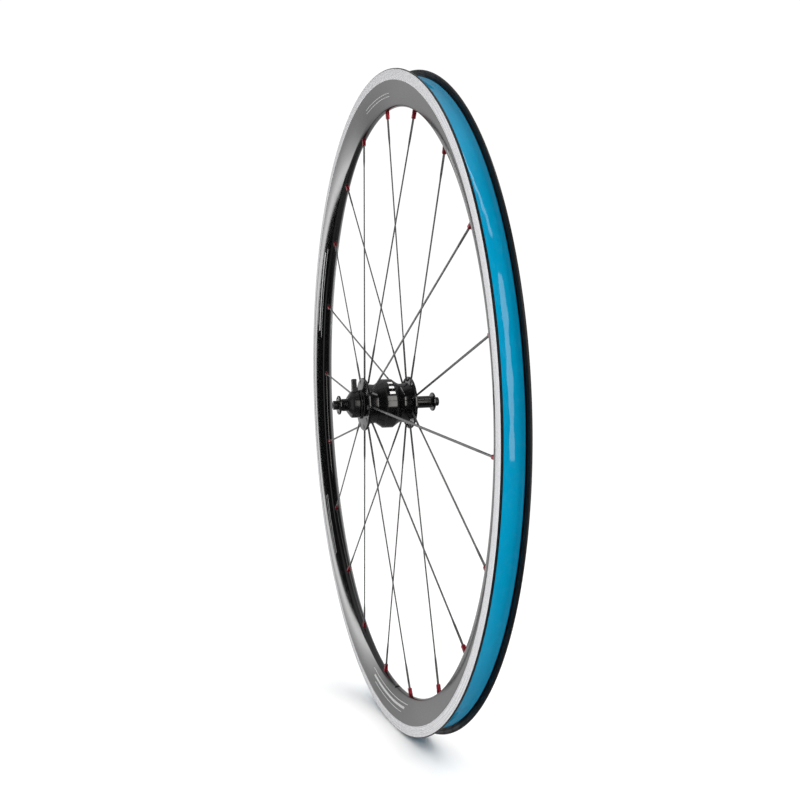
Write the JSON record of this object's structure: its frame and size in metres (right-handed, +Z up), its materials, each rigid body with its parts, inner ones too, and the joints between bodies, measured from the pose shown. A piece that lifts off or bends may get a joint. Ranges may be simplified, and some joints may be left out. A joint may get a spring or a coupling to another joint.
{
  "type": "bicycle front wheel",
  "caption": "Spoked bicycle front wheel without tyre: V-section rim with machined brake tracks and blue rim tape, radial bladed spokes, and a generator hub on a hollow axle.",
  "frame": {"origin": "middle of the axle, in the rim's middle plane", "axes": "+Y along the axle, away from the electrical connector; +Z up, along the connector; X the rolling direction"},
  "size_m": [0.6339, 0.11, 0.634],
  "materials": {
    "axle_steel": "black-finished steel, satin",
    "black_anodised": "black anodised aluminium, semi-gloss",
    "black_plastic": "black moulded nylon",
    "brass": "tinned contact brass",
    "lead_wire": "enamelled flat copper leads",
    "bearing_steel": "ground bearing steel",
    "soft_iron": "sintered soft iron",
    "bobbin_plastic": "natural nylon bobbin",
    "copper": "enamelled copper winding",
    "rim_black": "gloss black rim with machined silver brake tracks",
    "tape_blue": "glossy blue rim tape",
    "bare_alloy": "mill-finish alloy",
    "nipple_red": "red anodised alloy",
    "magnet": "sintered magnet",
    "seal_rubber": "nitrile rubber lip",
    "cage_brass": "pressed cage",
    "spoke_black": "black stainless bladed spoke"
  },
  "bodies": {
    "axle_assembly": {"axle": "axle_steel", "left_locknut": "black_anodised", "right_locknut": "black_anodised", "left_spacer": "black_anodised", "right_spacer": "black_anodised", "connector_cover": "black_plastic", "connector_housing": "black_plastic", "connector_cap": "black_plastic", "terminal_pins": "brass", "coil_leads": "lead_wire", "left_inner_race": "bearing_steel", "right_inner_race": "bearing_steel", "left_claw_plate": "soft_iron", "right_claw_plate": "soft_iron", "stator_core": "soft_iron", "coil_bobbin": "bobbin_plastic", "coil_winding": "copper", "stator_nut": "bearing_steel"},
    "wheel": {"rim": "rim_black", "rim_tape": "tape_blue", "rim_sleeve": "bare_alloy", "spoke_01": "spoke_black", "spoke_02": "spoke_black", "spoke_03": "spoke_black", "spoke_04": "spoke_black", "spoke_05": "spoke_black", "spoke_06": "spoke_black", "spoke_07": "spoke_black", "spoke_08": "spoke_black", "spoke_09": "spoke_black", "spoke_10": "spoke_black", "spoke_11": "spoke_black", "spoke_12": "spoke_black", "spoke_13": "spoke_black", "spoke_14": "spoke_black", "spoke_15": "spoke_black", "spoke_16": "spoke_black", "spoke_17": "spoke_black", "spoke_18": "spoke_black", "spoke_19": "spoke_black", "spoke_20": "spoke_black", "left_nipples": "nipple_red", "right_nipples": "nipple_red", "hub_shell": "black_anodised", "hub_end_flange": "black_anodised", "magnets": "magnet", "flux_ring": "soft_iron", "left_outer_race": "bearing_steel", "right_outer_race": "bearing_steel", "left_dust_seal": "seal_rubber", "right_dust_seal": "seal_rubber"},
    "left_cage": {"left_ball_cage": "cage_brass", "left_balls": "bearing_steel"},
    "right_cage": {"right_ball_cage": "cage_brass", "right_balls": "bearing_steel"}
  },
  "joints": [
    {"name": "wheel_spin", "type": "hinge", "parent": "axle_assembly", "child": "wheel", "pos_m": [0, 0, 0], "axis": [0, 1, 0], "continuous": true},
    {"name": "left_cage_spin", "type": "hinge", "parent": "axle_assembly", "child": "left_cage", "pos_m": [0, -0.0246, 0], "axis": [0, 1, 0], "continuous": true},
    {"name": "right_cage_spin", "type": "hinge", "parent": "axle_assembly", "child": "right_cage", "pos_m": [0, 0.0246, 0], "axis": [0, 1, 0], "continuous": true}
  ],
  "couplings": [
    {"joint": "left_cage_spin", "follows": "wheel_spin", "ratio": 0.586},
    {"joint": "right_cage_spin", "follows": "wheel_spin", "ratio": 0.586}
  ]
}
